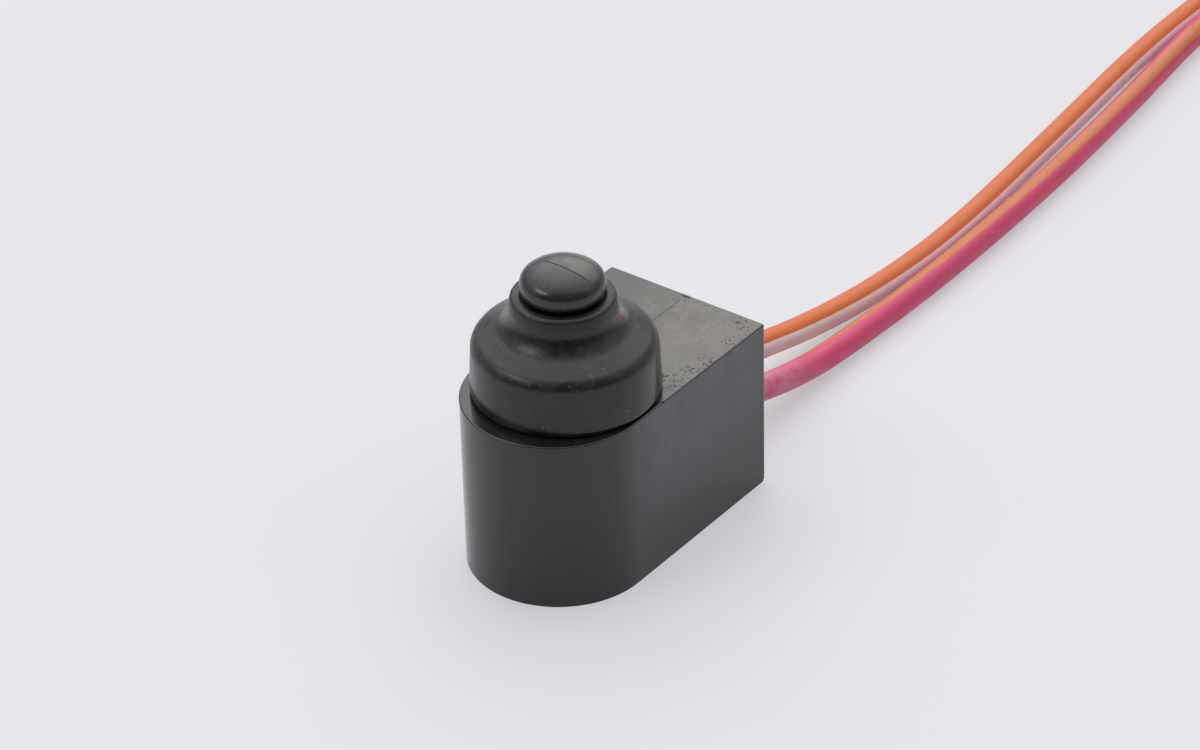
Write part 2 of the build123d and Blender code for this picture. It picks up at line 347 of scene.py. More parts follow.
# ---- Tie round the hank ----
TIE_X = 0.0976
TIE_LOW_Y = -0.00085
TIE_HIGH_Y = 0.0039
TIE_TOP = 0.0042
TIE_BAND = 0.0004
TIE_HALF_WIDTH = 0.00125
TIE_CORNER = 0.0006
TIE_EDGE = 0.0001
RIB_START_Y = 0.0021
RIB_PITCH = 0.00035
RIB_WIDTH = 0.00018
FLAT = 1e-9

# Blocks on the tie: half their length along X, their range above the band's top, their rounding.
TIE_RIB = (0.0008, (-0.0001, 0.0001), 0.00004)
TIE_HEAD = (0.0021, (-0.0002, 0.0018), 0.00025)
TIE_TAIL = (0.00115, (0.0012, 0.0044), 0.0001)
TIE_HEAD_Y = (-0.0012, 0.0018)
TIE_TAIL_Y = (0.0001, 0.0005)


def tie_block(shape, y_range, half_length, above_top, rounding):
    """A block on the tie, with its edges rounded."""
    low, high = above_top
    ranges = ((TIE_X - half_length, TIE_X + half_length), y_range, (TIE_TOP + low, TIE_TOP + high))
    middle = [(start + end) / 2 for start, end in ranges]
    size = [end - start for start, end in ranges]
    fit = Matrix.Translation(middle) @ Matrix.Diagonal((*size, 1))
    corners = bmesh.ops.create_cube(shape, size=1, matrix=fit)["verts"]
    edges = list({edge for corner in corners for edge in corner.link_edges})
    round_off(shape, edges, rounding, EDGE_STEPS, "EDGES")


def make_tie():
    """Ribbed band round the turns, the head that locks it on top, and its trimmed tail."""
    shape = bmesh.new()
    outline = [
        (TIE_LOW_Y, 0.0, TIE_CORNER),
        (TIE_HIGH_Y, 0.0, TIE_CORNER),
        (TIE_HIGH_Y, TIE_TOP, TIE_CORNER),
        (TIE_LOW_Y, TIE_TOP, TIE_CORNER),
    ]
    flat_outline(shape, outline, lambda y, z: (TIE_X - TIE_HALF_WIDTH, y, z))
    inner = list(shape.faces)
    bmesh.ops.inset_region(shape, faces=inner, thickness=TIE_BAND, use_even_offset=True)
    bmesh.ops.delete(shape, geom=inner, context="FACES")
    side = bmesh.ops.extrude_face_region(shape, geom=list(shape.faces))["geom"]
    moved = [item for item in side if isinstance(item, bmesh.types.BMVert)]
    bmesh.ops.translate(shape, vec=(2 * TIE_HALF_WIDTH, 0, 0), verts=moved)
    rims = [edge for edge in shape.edges if abs(edge.verts[0].co.x - edge.verts[1].co.x) < FLAT]
    round_off(shape, rims, TIE_EDGE, EDGE_STEPS, "EDGES")
    rib_y = RIB_START_Y
    while rib_y < TIE_HIGH_Y - TIE_CORNER:
        tie_block(shape, (rib_y, rib_y + RIB_WIDTH), *TIE_RIB)
        rib_y += RIB_PITCH
    tie_block(shape, TIE_HEAD_Y, *TIE_HEAD)
    tie_block(shape, TIE_TAIL_Y, *TIE_TAIL)
    bmesh.ops.recalc_face_normals(shape, faces=shape.faces)
    tie = piece("cable_tie", shape, "switch_case")
    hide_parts("hank_tie")
    return tie


cable_tie = make_tie()

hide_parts("lead_orange", "lead_hank")
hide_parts("lead_pink")


# ---- Boot ----
# The boot's wall: up its outside, over the mouth, and down its inside to the lip.
BOOT_WALL = [
    (4.75, 11.90, 0.0),
    (5.98, 11.90, 0.40),
    (5.78, 15.58, 0.54),
    (3.38, 16.78, 1.00),
    (3.29, 18.63, 0.28),
    (2.70, 18.67, 0.08),
    (1.95, 18.25, 0.0),
    (1.95, 17.40, 0.0),
    (2.48, 17.40, 0.0),
    (2.48, 16.10, 0.2),
    (4.93, 14.72, 0.3),
    (4.98, 12.40, 0.0),
    (4.75, 12.40, 0.0),
]


def make_boot():
    """Rubber boot, spun from its wall, with its skirt on the roof and its neck round the plunger's
    stem.
    """
    boot = piece("rubber_boot", turned(BOOT_WALL))
    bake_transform(boot)
    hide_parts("boot")
    return boot


rubber_boot = make_boot()


# ---- Plunger ----
HEAD_RADIUS = 2.67
HEAD_EQUATOR = 19.41
HEAD_TOP = 20.93
HEAD_KNUCKLE = 0.93
UNDER_RIM_CENTRE = (2.44, 19.0)
UNDER_RIM_SWEEP = math.pi / 2 * 0.96
UNDER_RIM_STEPS = 6
KNUCKLE_STEPS = 12
CROWN_STEPS = 20
SHARP_ANGLE = math.radians(40)

# The stem, from the end of its spring bore down to the nose and up to the head.
STEM = [
    (0.0, 10.4),
    (1.0, 10.4),
    (1.0, 4.6),
    (1.5, 4.6),
    (1.5, 5.1),
    (1.25, 5.1),
    (1.25, 5.5),
    (1.5, 5.5),
    (1.5, 9.13),
    (1.9, 9.13),
    (1.9, 9.95),
    (1.65, 9.95),
    (1.65, 10.35),
    (1.9, 10.35),
    (1.9, 17.35),
    (1.7, 17.35),
    (1.7, 18.25),
    (1.9, 18.25),
    (1.9, 18.82),
    (2.44, 18.82),
]


def arc(shape, start, centre, angle, steps):
    """Carries an outline on from a vertex, round a centre given as (x, z); returns its end."""
    swept = bmesh.ops.spin(
        shape,
        geom=[start],
        axis=(0, -1, 0),
        cent=(centre[0] * MM, 0, centre[1] * MM),
        angle=angle,
        steps=steps,
        use_merge=False,
    )
    return swept["geom_last"][0]


def make_plunger():
    """Stem with three grooves and a spring bore, under a domed head with a rounded knuckle."""
    shape = bmesh.new()
    points = [shape.verts.new((radius * MM, 0, height * MM)) for radius, height in STEM]
    for low, high in zip(points, points[1:]):
        shape.edges.new((low, high))
    rim = arc(shape, points[-1], UNDER_RIM_CENTRE, UNDER_RIM_SWEEP, UNDER_RIM_STEPS)
    equator = shape.verts.new((HEAD_RADIUS * MM, 0, HEAD_EQUATOR * MM))
    shape.edges.new((rim, equator))
    reach = HEAD_RADIUS - HEAD_KNUCKLE
    rise = HEAD_TOP - HEAD_EQUATOR
    crown = (reach**2 + rise**2 - HEAD_KNUCKLE**2) / (2 * (rise - HEAD_KNUCKLE))
    crown_centre = HEAD_TOP - crown
    lean = math.atan2(HEAD_EQUATOR - crown_centre, reach)
    knuckle_end = arc(shape, equator, (reach, HEAD_EQUATOR), lean, KNUCKLE_STEPS)
    arc(shape, knuckle_end, (0.0, crown_centre), math.pi / 2 - lean, CROWN_STEPS)
    turn_full(shape)
    plunger = piece("button_plunger", shape, "plunger_set")
    plunger.data.set_sharp_from_angle(angle=SHARP_ANGLE)
    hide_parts("plunger")
    return plunger


button_plunger = make_plunger()


# ---- Return spring ----
SPRING_RADIUS = 0.725
SPRING_WIRE = 0.28
SPRING_TURNS = 5
SPRING_FOOT = 2.0
SPRING_TOP = 10.4
SPRING_STEPS = 24
SPRING_SIDES = 8


def make_return_spring():
    """Open coil from the base to the end of the stem's bore."""
    shape = bmesh.new()
    upright = Matrix.Rotation(math.pi / 2, 4, "X")
    first = Matrix.Translation((SPRING_RADIUS * MM, 0, (SPRING_FOOT + SPRING_WIRE / 2) * MM))
    wind_wire(
        shape,
        radius=SPRING_WIRE / 2 * MM,
        sides=SPRING_SIDES,
        start=first @ upright,
        axis=(0, 0, 1),
        climb=(SPRING_TOP - SPRING_FOOT - SPRING_WIRE) * MM,
        angle=2 * math.pi * SPRING_TURNS,
        steps=SPRING_TURNS * SPRING_STEPS,
    )
    cap_wires(shape)
    coil = piece("coiled_return_spring", shape)
    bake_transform(coil)
    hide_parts("return_spring")
    return coil


return_spring = make_return_spring()


# ---- Shader helpers ----
MICRON = 0.000001


def place(tree, kind, sockets=None, **settings):
    """A shader node with its settings, each socket given a value or another node's output."""
    made = tree.nodes.new(kind)
    for name, value in settings.items():
        setattr(made, name, value)
    for socket, value in (sockets or {}).items():
        if isinstance(value, bpy.types.NodeSocket):
            tree.links.new(value, made.inputs[socket])
        else:
            made.inputs[socket].default_value = value
    return made


def reckon(tree, operation, first, second=0.0, clamp=False):
    """One sum on numbers or masks, held between 0 and 1 where clamp is set."""
    sockets = {0: first, 1: second}
    return place(tree, "ShaderNodeMath", sockets, operation=operation, use_clamp=clamp).outputs[0]


def chain(tree, operation, parts):
    """The same sum taken from part to part, in order."""
    result = parts[0]
    for part in parts[1:]:
        result = reckon(tree, operation, result, part)
    return result


def times(tree, *factors):
    return chain(tree, "MULTIPLY", factors)


def total(tree, *parts):
    return chain(tree, "ADD", parts)


def less(tree, *parts):
    """The first part with all the others taken off it."""
    return chain(tree, "SUBTRACT", parts)


def widest(tree, *masks):
    return chain(tree, "MAXIMUM", masks)


def vector(tree, operation, first, second=(0.0, 0.0, 0.0), result="Vector"):
    """One sum on a vector and a vector or, for SCALE, a number; the result may be a Value."""
    sockets = {0: first, "Scale" if operation == "SCALE" else 1: second}
    return place(tree, "ShaderNodeVectorMath", sockets, operation=operation).outputs[result]


def split(tree, position):
    """The X, Y and Z of a position."""
    return place(tree, "ShaderNodeSeparateXYZ", {"Vector": position}).outputs


def ramp(tree, value, start, end, low=0.0, high=1.0):
    """Runs smoothly from low to high while the value goes from start to end."""
    sockets = {"Value": value, "From Min": start, "From Max": end, "To Min": low, "To Max": high}
    made = place(tree, "ShaderNodeMapRange", sockets, interpolation_type="SMOOTHSTEP")
    return made.outputs["Result"]


def tint(tree, mask, under, over):
    """The colour under, covered by the colour over where the mask is 1."""
    sockets = {0: mask, 6: under, 7: over}
    return place(tree, "ShaderNodeMix", sockets, data_type="RGBA").outputs[2]


def cover(tree, colour, *layers):
    """A colour under layers of (mask, colour), the last of them on top."""
    for mask, over in layers:
        colour = tint(tree, mask, colour, over)
    return colour


def rgb(red, green, blue):
    return (red, green, blue, 1.0)


def noise(tree, position, scale, detail, roughness=0.5, distortion=0.0, result="Fac"):
    sockets = {
        "Vector": position,
        "Scale": scale,
        "Detail": detail,
        "Roughness": roughness,
        "Distortion": distortion,
    }
    return place(tree, "ShaderNodeTexNoise", sockets).outputs[result]


def pebbled(tree, position, scale, feature="F1"):
    """Cells about scattered points: their distance, colour and place."""
    sockets = {"Vector": position, "Scale": scale}
    return place(tree, "ShaderNodeTexVoronoi", sockets, feature=feature).outputs


def new_group(name, numbers, vectors=("Position",), output="Mask"):
    """An empty shader group; returns its tree, what it is given and the socket that it fills."""
    tree = bpy.data.node_groups.new(name, "ShaderNodeTree")
    for socket in vectors:
        tree.interface.new_socket(name=socket, in_out="INPUT", socket_type="NodeSocketVector")
    for socket, value in numbers.items():
        made = tree.interface.new_socket(name=socket, in_out="INPUT", socket_type="NodeSocketFloat")
        made.default_value = value
    tree.interface.new_socket(name=output, in_out="OUTPUT", socket_type="NodeSocketFloat")
    given = tree.nodes.new("NodeGroupInput").outputs
    return tree, given, tree.nodes.new("NodeGroupOutput").inputs[output]


# ---- Effects that the finishes share ----
def make_flecks():
    """Small uneven flecks of dust or dirt: Share is how many cells hold one, Size its width."""
    tree, given, mask = new_group(
        "scattered_flecks", {"Scale": 2000.0, "Share": 0.2, "Size": 0.25, "Unevenness": 0.5}
    )
    warp = noise(tree, given["Position"], given["Scale"], detail=2.0, result="Color")
    spread = reckon(tree, "DIVIDE", given["Unevenness"], given["Scale"])
    shifted = vector(tree, "ADD", given["Position"], vector(tree, "SCALE", warp, spread))
    cells = pebbled(tree, shifted, given["Scale"])
    chance = place(tree, "ShaderNodeSeparateColor", {"Color": cells["Color"]}).outputs
    held = reckon(tree, "LESS_THAN", chance["Red"], given["Share"])
    width = times(tree, given["Size"], ramp(tree, chance["Green"], 0.0, 1.0, 0.45, 1.0))
    from_middle = reckon(tree, "DIVIDE", cells["Distance"], width)
    inside = reckon(tree, "SUBTRACT", 1.0, from_middle, clamp=True)
    tree.links.new(times(tree, held, ramp(tree, inside, 0.0, 0.45)), mask)
    return tree


def make_blotches():
    """Cloudy patches: nothing below Start, full above End."""
    tree, given, mask = new_group(
        "cloudy_patches", {"Scale": 300.0, "Start": 0.45, "End": 0.65, "Detail": 5.0}
    )
    clouds = noise(tree, given["Position"], given["Scale"], given["Detail"], roughness=0.6)
    tree.links.new(ramp(tree, clouds, given["Start"], given["End"]), mask)
    return tree


def make_grain():
    """Height of a fine moulded grain, part rounded pebbles and part noise."""
    tree, given, height = new_group(
        "moulded_grain", {"Scale": 4000.0, "Pebbles": 0.5}, output="Height"
    )
    pebbles = pebbled(tree, given["Position"], given["Scale"], "SMOOTH_F1")["Distance"]
    fine = noise(tree, given["Position"], given["Scale"], detail=3.0)
    sockets = {0: given["Pebbles"], 2: fine, 3: pebbles}
    both = place(tree, "ShaderNodeMix", sockets, data_type="FLOAT")
    tree.links.new(both.outputs[0], height)
    return tree


def make_scratches():
    """Hairlines along the axis with the least Stretch, as wide as their Share of the noise."""
    tree, given, mask = new_group(
        "hairline_scratches", {"Scale": 500.0, "Share": 0.08}, vectors=("Position", "Stretch")
    )
    squeezed = vector(tree, "MULTIPLY", given["Position"], given["Stretch"])
    streaks = noise(tree, squeezed, given["Scale"], detail=2.0, distortion=0.3)
    off_middle = reckon(tree, "ABSOLUTE", reckon(tree, "SUBTRACT", streaks, 0.5))
    off_line = reckon(tree, "DIVIDE", off_middle, given["Share"])
    tree.links.new(reckon(tree, "SUBTRACT", 1.0, off_line, clamp=True), mask)
    return tree


def make_spot():
    """A soft round patch about a Centre."""
    tree, given, mask = new_group("soft_spot", {"Radius": 0.001}, vectors=("Position", "Centre"))
    away = vector(tree, "DISTANCE", given["Position"], given["Centre"], "Value")
    share = reckon(tree, "DIVIDE", away, given["Radius"])
    tree.links.new(ramp(tree, share, 0.35, 1.0, 1.0, 0.0), mask)
    return tree


def make_tracer():
    """A stripe along a lead: Middle and Half Width are shares of the way round, Twist its drift."""
    numbers = {"Middle": 0.5, "Half Width": 0.1, "Twist": 0.0, "Softness": 0.02}
    tree, given, mask = new_group("lead_tracer", numbers, vectors=("Along",))
    parts = split(tree, given["Along"])
    middle = total(tree, given["Middle"], times(tree, given["Twist"], parts["X"]))
    # Ten whole turns keep the number above zero, and half a turn puts the stripe at 0.5.
    turn = total(tree, less(tree, parts["Y"], middle), 10.5)
    away = reckon(tree, "ABSOLUTE", less(tree, reckon(tree, "FRACT", turn), 0.5))
    edge = total(tree, given["Half Width"], given["Softness"])
    tree.links.new(ramp(tree, away, given["Half Width"], edge, 1.0, 0.0), mask)
    return tree


FLECKS = make_flecks()
BLOTCHES = make_blotches()
GRAIN = make_grain()
SCRATCHES = make_scratches()
SPOT = make_spot()
TRACER = make_tracer()


def use(tree, effect, **sockets):
    """A shared effect with its own values; an underscore stands for a space in a socket's name."""
    named = {name.replace("_", " "): value for name, value in sockets.items()}
    return place(tree, "ShaderNodeGroup", named, node_tree=effect).outputs[0]


# ---- Finishes ----
def new_finish(name, ior=1.5, metallic=0.0):
    """A new material; returns it, its tree, its shader and its Object coordinates."""
    finish = bpy.data.materials.new(name)
    finish.use_nodes = True
    tree = finish.node_tree
    shader = tree.nodes["Principled BSDF"]
    shader.inputs["IOR"].default_value = ior
    shader.inputs["Metallic"].default_value = metallic
    where = place(tree, "ShaderNodeTexCoord").outputs["Object"]
    return finish, tree, shader, where


def colour_it(tree, shader, colour, roughness, height, depth):
    """Feeds the shader's colour, roughness and bump; the bump's depth is in metres."""
    tree.links.new(colour, shader.inputs["Base Color"])
    tree.links.new(roughness, shader.inputs["Roughness"])
    bump = place(tree, "ShaderNodeBump", {"Height": height, "Distance": depth, "Strength": 1.0})
    tree.links.new(bump.outputs["Normal"], shader.inputs["Normal"])


# The case: (start, end) of each change along X, Y or Z in metres.
CASE_ROOF_Z = (0.01184, 0.01189)
# Painted shade: below these heights the case's colour darkens towards the bench.
CASE_PAINTED_SHADE_Z = (0.001, 0.009)
FLATS_X = (-0.0025, 0.003)
# The pale bluish layer on the flats fades out towards the bench below these heights, as painted
# shade.
HAZE_PAINTED_SHADE_Z = (0.0012, 0.0090)
HAZE_REAR_X = (0.0095, 0.0125)
# The roof's greenish-grey coat is partly a dust coat and partly painted sheen: its strength across
# the roof and towards the rear is painted light.
FILM_AND_SHEEN_FRONT_X = (0.0010, 0.0052)
FILM_AND_SHEEN_REAR_X = (0.0088, 0.0128)
FILM_AND_SHEEN_ACROSS_Y = (0.0055, -0.0055)
FILM_AND_SHEEN_EDGE_Y = (-0.00595, -0.00587)
PITTED_EDGE_Y = (-0.0048, -0.0059)

# Crowds of pits along the roof's near edge: x, y and radius in metres, at the roof's height.
ROOF_HEIGHT = 0.0119
PIT_CROWDS = (
    (0.00405, -0.0050, 0.0015),
    (0.00560, -0.0054, 0.0012),
    (0.00700, -0.0055, 0.0012),
    (0.00985, -0.0054, 0.0009),
    (0.01208, -0.0045, 0.0008),
    (0.01150, -0.0053, 0.0008),
)


def case_finish():
    """Black moulding: glossy in front, hazy on its flats, darkened towards the bench by painted
    shade, with pits on top and a greenish-grey coat there that is partly painted sheen.
    """
    finish, tree, shader, where = new_finish("black_case_moulding", ior=1.58)
    x, y, z = split(tree, where)
    top = ramp(tree, z, *CASE_ROOF_Z)
    flats = ramp(tree, x, *FLATS_X)
    clouds = use(tree, BLOTCHES, Position=where, Scale=620.0, Start=0.34, End=0.68, Detail=7.0)
    fine = use(tree, BLOTCHES, Position=where, Scale=2700.0, Start=0.35, End=0.66, Detail=4.0)
    upright = vector(tree, "MULTIPLY", where, (1.0, 1.0, 0.07))
    streaks = use(tree, BLOTCHES, Position=upright, Scale=950.0, Start=0.38, End=0.66, Detail=4.0)

    # Painted sheen, partly a dust coat: greenish-grey on the roof, stronger towards the near side,
    # weaker towards the rear, nearly gone at the round end.
    open_top = times(tree, top, ramp(tree, x, *FILM_AND_SHEEN_FRONT_X, 0.06, 1.0))
    film_and_painted_sheen = times(
        tree,
        open_top,
        total(tree, 0.32, times(tree, clouds, fine, 0.80)),
        ramp(tree, y, *FILM_AND_SHEEN_ACROSS_Y, 0.47, 2.15),
        ramp(tree, x, *FILM_AND_SHEEN_REAR_X, 1.0, 0.72),
        ramp(tree, y, *FILM_AND_SHEEN_EDGE_Y),
    )
    cloudy = total(tree, times(tree, clouds, 0.24), times(tree, streaks, 0.22))
    # The layer on the flats rises with height, which paints shade low down, and thins towards the
    # rear.
    rising = times(tree, ramp(tree, z, *HAZE_PAINTED_SHADE_Z), ramp(tree, x, *HAZE_REAR_X, 1.0, 0.66))
    below_top = less(tree, 1.0, top)
    haze_and_painted_shade = times(tree, flats, total(tree, 0.54, cloudy), rising, below_top)

    crowds = [
        use(tree, SPOT, Position=where, Centre=(centre_x, centre_y, ROOF_HEIGHT), Radius=radius)
        for centre_x, centre_y, radius in PIT_CROWDS
    ]
    along_edge = times(tree, ramp(tree, y, *PITTED_EDGE_Y), clouds, 0.6)
    crowd = times(tree, top, widest(tree, *crowds, along_edge))
    many = use(tree, FLECKS, Position=where, Scale=6200.0, Share=0.62, Size=0.66, Unevenness=0.9)
    few = use(tree, FLECKS, Position=where, Scale=2300.0, Share=0.05, Size=0.22, Unevenness=0.8)
    pits = widest(tree, times(tree, crowd, many), times(tree, top, few))
    cut = use(tree, SCRATCHES, Position=where, Stretch=(0.12, 1.0, 1.0), Scale=1500.0, Share=0.012)
    drawn = use(tree, SCRATCHES, Position=where, Stretch=(1.0, 1.0, 0.06), Scale=1300.0, Share=0.02)
    dust = use(tree, FLECKS, Position=where, Scale=1500.0, Share=0.05, Size=0.075, Unevenness=0.4)

    colour = cover(
        tree,
        rgb(0.0025, 0.0025, 0.0026),
        # Painted shade: the case is darker towards the bench and lighter higher up.
        (ramp(tree, z, *CASE_PAINTED_SHADE_Z), rgb(0.0105, 0.0104, 0.0122)),
        (haze_and_painted_shade, rgb(0.068, 0.063, 0.082)),
        # Painted sheen with a dust coat: the roof's greenish-grey.
        (film_and_painted_sheen, rgb(0.116, 0.104, 0.076)),
        (pits, rgb(0.006, 0.006, 0.006)),
        (times(tree, dust, 0.5), rgb(0.30, 0.29, 0.28)),
    )
    rough = total(
        tree,
        0.09,
        times(tree, open_top, clouds, fine, 0.25),
        times(tree, haze_and_painted_shade, 0.10),
        times(tree, pits, 0.5),
        times(tree, drawn, 0.06),
    )
    grain = use(tree, GRAIN, Position=where, Scale=3800.0, Pebbles=0.35)
    height = less(
        tree,
        times(tree, grain, total(tree, 0.25, times(tree, top, 0.75))),
        times(tree, pits, 6.0),
        times(tree, cut, top, 1.2),
        times(tree, drawn, 0.25),
    )
    colour_it(tree, shader, colour, rough, height, 1.5 * MICRON)
    return finish


# The boot: (start, end) of each change along Z in metres.
SHOULDER_RISE_Z = (0.0146, 0.0153)
SHOULDER_FALL_Z = (0.0160, 0.0155)
SLOPE_RISE_Z = (0.0153, 0.0156)
SLOPE_FALL_Z = (0.0172, 0.0165)
NECK_Z = (0.0176, 0.0181)
RIM_Z = (0.01835, 0.01855)
RING_DRIFT = 0.0016


def boot_finish():
    """Matt rubber: turning rings on its slope, rougher rim and shoulder, and pale dust on it."""
    finish, tree, shader, where = new_finish("boot_rubber", ior=1.52)
    x, y, z = split(tree, where)
    rim = ramp(tree, z, *RIM_Z)
    neck = ramp(tree, z, *NECK_Z)
    shoulder = times(tree, ramp(tree, z, *SHOULDER_RISE_Z), ramp(tree, z, *SHOULDER_FALL_Z))
    slope = times(tree, ramp(tree, z, *SLOPE_RISE_Z), ramp(tree, z, *SLOPE_FALL_Z))
    worn = widest(tree, rim, times(tree, shoulder, 0.55))
    clouds = use(tree, BLOTCHES, Position=where, Scale=380.0, Start=0.35, End=0.7, Detail=5.0)
    mottle = use(tree, BLOTCHES, Position=where, Scale=1900.0, Start=0.36, End=0.68, Detail=5.0)
    scuffs = use(tree, BLOTCHES, Position=where, Scale=620.0, Start=0.56, End=0.70, Detail=9.0)

    # Rings round the axis: the pattern changes fast with the radius and slowly on the way round.
    level = place(tree, "ShaderNodeCombineXYZ", {"X": x, "Y": y}).outputs[0]
    reach = vector(tree, "LENGTH", level, result="Value")
    round_about = vector(tree, "SCALE", vector(tree, "NORMALIZE", level), RING_DRIFT)
    outwards = place(tree, "ShaderNodeCombineXYZ", {"Z": reach}).outputs[0]
    ringed = vector(tree, "ADD", round_about, outwards)
    rings = use(tree, BLOTCHES, Position=ringed, Scale=2300.0, Start=0.38, End=0.66, Detail=3.0)
    rings = times(tree, rings, slope)

    dust = use(tree, FLECKS, Position=where, Scale=2300.0, Share=0.60, Size=0.23, Unevenness=0.6)
    specks = use(tree, FLECKS, Position=where, Scale=1500.0, Share=0.30, Size=0.14, Unevenness=0.6)
    crumbs = use(tree, FLECKS, Position=where, Scale=4300.0, Share=0.3, Size=0.4, Unevenness=0.9)
    bloom = total(tree, times(tree, clouds, 0.45), times(tree, mottle, 0.55))
    colour = cover(
        tree,
        rgb(0.0021, 0.0019, 0.0028),
        (bloom, rgb(0.0132, 0.0122, 0.0175)),
        (rings, rgb(0.0200, 0.0200, 0.0205)),
        (times(tree, scuffs, mottle, slope), rgb(0.070, 0.070, 0.073)),
        (times(tree, dust, 0.40), rgb(0.11, 0.11, 0.12)),
        (times(tree, specks, 0.55), rgb(0.22, 0.22, 0.25)),
        (times(tree, worn, crumbs, 0.7), rgb(0.055, 0.055, 0.055)),
    )
    rough = total(
        tree,
        0.225,
        times(tree, clouds, mottle, 0.16),
        times(tree, widest(tree, worn, neck), 0.18),
        times(tree, scuffs, slope, 0.12),
        times(tree, rings, 0.10),
    )
    fine = use(tree, GRAIN, Position=where, Scale=5200.0, Pebbles=0.3)
    coarse = use(tree, GRAIN, Position=where, Scale=2700.0, Pebbles=0.5)
    height = total(
        tree,
        times(tree, fine, 0.8),
        times(tree, coarse, 2.5),
        times(tree, coarse, worn, 4.0),
        times(tree, crumbs, worn, 3.0),
    )
    colour_it(tree, shader, colour, rough, height, 2.0 * MICRON)
    return finish


# The button: its parting line is the curve x = LINE_BEND * y * y + LINE_X, in metres.
LINE_BEND = 90.0
LINE_X = -0.00045
LINE_WIDTH = (0.000016, 0.00005)
LINE_NEAR_Y = (-0.0023, -0.0019)
LINE_FAR_Y = (0.0014, 0.0011)
# A painted reflection: a greenish-grey patch on the crown, ending at the parting line.
PATCH_EDGE = (-0.00005, 0.00015)
PATCH_CENTRE = (0.0008, -0.0013, 0.0206)
PATCH_RADIUS = 0.0019
CROWN_Z = (0.0200, 0.0206)


def button_finish():
    """Polished black button with a hairline parting line over its dome, a painted bluish sheen on
    its crown and a painted greenish-grey reflection beside the line.
    """
    finish, tree, shader, where = new_finish("polished_button", ior=1.6)
    x, y, z = split(tree, where)
    past_line = less(tree, x, total(tree, times(tree, y, y, LINE_BEND), LINE_X))
    off_line = reckon(tree, "ABSOLUTE", past_line)
    span = times(tree, ramp(tree, y, *LINE_NEAR_Y), ramp(tree, y, *LINE_FAR_Y))
    line = times(tree, span, ramp(tree, off_line, *LINE_WIDTH, 1.0, 0.0))
    clouds = use(tree, BLOTCHES, Position=where, Scale=650.0, Start=0.36, End=0.70, Detail=6.0)
    mottle = use(tree, BLOTCHES, Position=where, Scale=2600.0, Start=0.36, End=0.68, Detail=4.0)
    crown = ramp(tree, z, *CROWN_Z)
    patch = use(tree, SPOT, Position=where, Centre=PATCH_CENTRE, Radius=PATCH_RADIUS)
    uneven = total(tree, 0.45, times(tree, clouds, 0.55))
    painted_greenish_reflection = times(tree, crown, patch, ramp(tree, past_line, *PATCH_EDGE), uneven)
    # Painted sheen: a bluish layer, patchy like dust, lightens only the crown of the dome.
    film_and_painted_sheen = times(tree, crown, clouds, mottle, 0.6)
    dust = use(tree, FLECKS, Position=where, Scale=2300.0, Share=0.22, Size=0.20, Unevenness=0.5)
    hairs = use(tree, SCRATCHES, Position=where, Stretch=(1.0, 0.15, 1.0), Scale=1300.0, Share=0.02)
    colour = cover(
        tree,
        rgb(0.0135, 0.0135, 0.0160),
        (film_and_painted_sheen, rgb(0.080, 0.083, 0.095)),
        # Painted reflection: the greenish-grey patch on the crown.
        (painted_greenish_reflection, rgb(0.165, 0.150, 0.118)),
        (times(tree, dust, 0.5), rgb(0.15, 0.15, 0.16)),
        (line, rgb(0.002, 0.002, 0.002)),
    )
    rough = total(tree, 0.22, times(tree, clouds, mottle, 0.14), times(tree, line, 0.5))
    grain = use(tree, GRAIN, Position=where, Scale=3600.0, Pebbles=0.2)
    height = less(
        tree,
        times(tree, grain, 0.8),
        times(tree, line, 12.0),
        times(tree, hairs, crown, 0.8),
    )
    colour_it(tree, shader, colour, rough, height, 2.0 * MICRON)
    return finish


TRACER_SOFTNESS = 0.022
CHALKY_X = (0.0250, 0.0170)


def lead_finish(name, colour, faded, stripe, middle, half_width, twist, chalk):
    """Soft insulation with a tracer stripe, paler where handled and chalky near the case."""
    finish, tree, shader, where = new_finish(name)
    along = place(tree, "ShaderNodeUVMap", uv_map="UVMap").outputs["UV"]
    tracer = use(
        tree,
        TRACER,
        Along=along,
        Middle=middle,
        Half_Width=half_width,
        Twist=twist,
        Softness=TRACER_SOFTNESS,
    )
    clouds = use(tree, BLOTCHES, Position=where, Scale=420.0, Start=0.35, End=0.7, Detail=4.0)
    mottle = use(tree, BLOTCHES, Position=where, Scale=900.0, Start=0.28, End=0.68, Detail=4.0)
    dust = use(tree, FLECKS, Position=where, Scale=1500.0, Share=0.12, Size=0.10, Unevenness=0.6)
    near_case = ramp(tree, split(tree, where)["X"], *CHALKY_X)
    body = cover(
        tree,
        colour,
        (times(tree, clouds, 0.35), faded),
        (tracer, stripe),
        (times(tree, near_case, mottle, chalk), rgb(0.62, 0.38, 0.46)),
        (times(tree, dust, 0.35), rgb(0.30, 0.27, 0.25)),
    )
    rough = total(tree, 0.36, times(tree, clouds, 0.14))
    grain = use(tree, GRAIN, Position=where, Scale=2600.0, Pebbles=0.1)
    colour_it(tree, shader, body, rough, grain, 4.0 * MICRON)
    return finish


